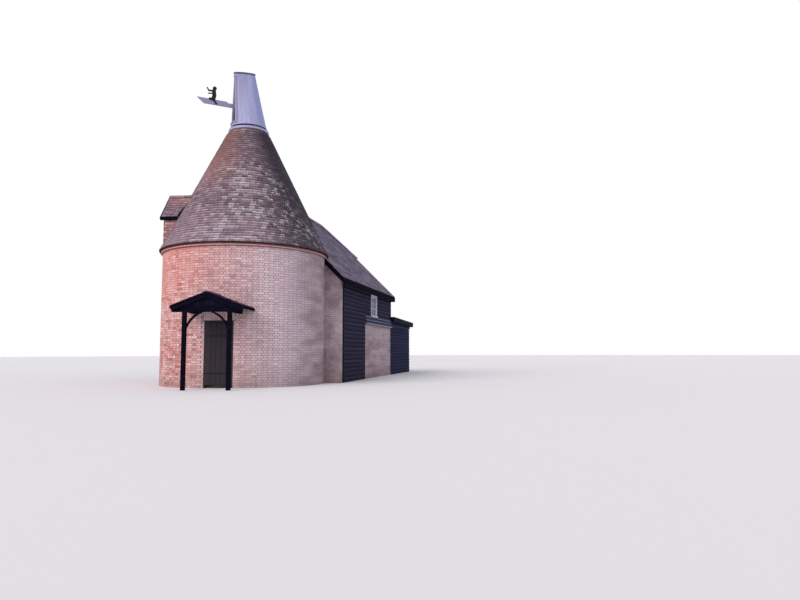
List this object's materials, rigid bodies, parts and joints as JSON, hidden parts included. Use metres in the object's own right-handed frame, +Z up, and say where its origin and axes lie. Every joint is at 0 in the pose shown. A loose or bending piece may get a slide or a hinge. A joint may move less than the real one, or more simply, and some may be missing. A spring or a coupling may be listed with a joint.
{
  "type": "oast house",
  "caption": "Traditional hop-drying house: round brick kiln with a tiled cone and turning cowl, boarded stowage with a half-hipped roof, and a low annex.",
  "frame": {"origin": "the kiln's axis at ground level, on the underside of the kiln's floor slab", "axes": "+Z up along the kiln's axis, +Y along the stowage's ridge away from the kiln, +X towards the long side with the boarded bay"},
  "size_m": [6.9, 17.1034, 11.1609],
  "materials": {
    "brick": "rough",
    "clay_tile": "rough",
    "black_board": "weathered paint",
    "timber": "sawn",
    "dark_oak": "stained",
    "white_paint": "painted",
    "window_glass": "polished",
    "roof_felt": "matte",
    "floor_stone": "honed",
    "black_iron": "painted"
  },
  "bodies": {
    "building": {"kiln_wall_front_right": "brick", "kiln_wall_back_right": "brick", "kiln_wall_back_left": "brick", "kiln_wall_front_left": "brick", "kiln_wall_over_doors": "brick", "kiln_roof_back": "clay_tile", "kiln_roof_left": "clay_tile", "kiln_roof_front": "clay_tile", "kiln_roof_right": "clay_tile", "kiln_upper_floor": "timber", "dormer_front": "timber", "dormer_cheeks": "clay_tile", "dormer_roof": "clay_tile", "window_frames": "white_paint", "window_glass": "window_glass", "porch_posts": "dark_oak", "porch_frame": "dark_oak", "porch_gable": "black_board", "porch_roof": "clay_tile", "kiln_door_frame": "dark_oak", "kiln_door": "black_board", "near_wall_returns": "brick", "right_brick_wall": "brick", "left_brick_wall": "brick", "far_brick_wall": "brick", "right_boarded_wall": "black_board", "left_boarded_wall": "black_board", "far_gable": "black_board", "skirt_boards": "black_board", "stowage_roof_right": "clay_tile", "stowage_roof_left": "clay_tile", "half_hip": "clay_tile", "ridge_tiles": "clay_tile", "ground_slabs": "floor_stone", "stowage_upper_floor": "timber", "annex_side_walls": "black_board", "annex_end_wall": "black_board", "annex_roof": "roof_felt", "curb_ring": "white_paint", "cowl_bearers": "timber"},
    "cowl": {"cowl_shell": "white_paint", "cowl_cap": "white_paint", "cowl_frame": "timber", "vane_board": "white_paint", "vane_figure": "black_iron"}
  },
  "joints": [
    {"name": "cowl_turn", "type": "hinge", "parent": "building", "child": "cowl", "pos_m": [0, 0, 8.15], "axis": [0, 0, 1], "continuous": true}
  ]
}
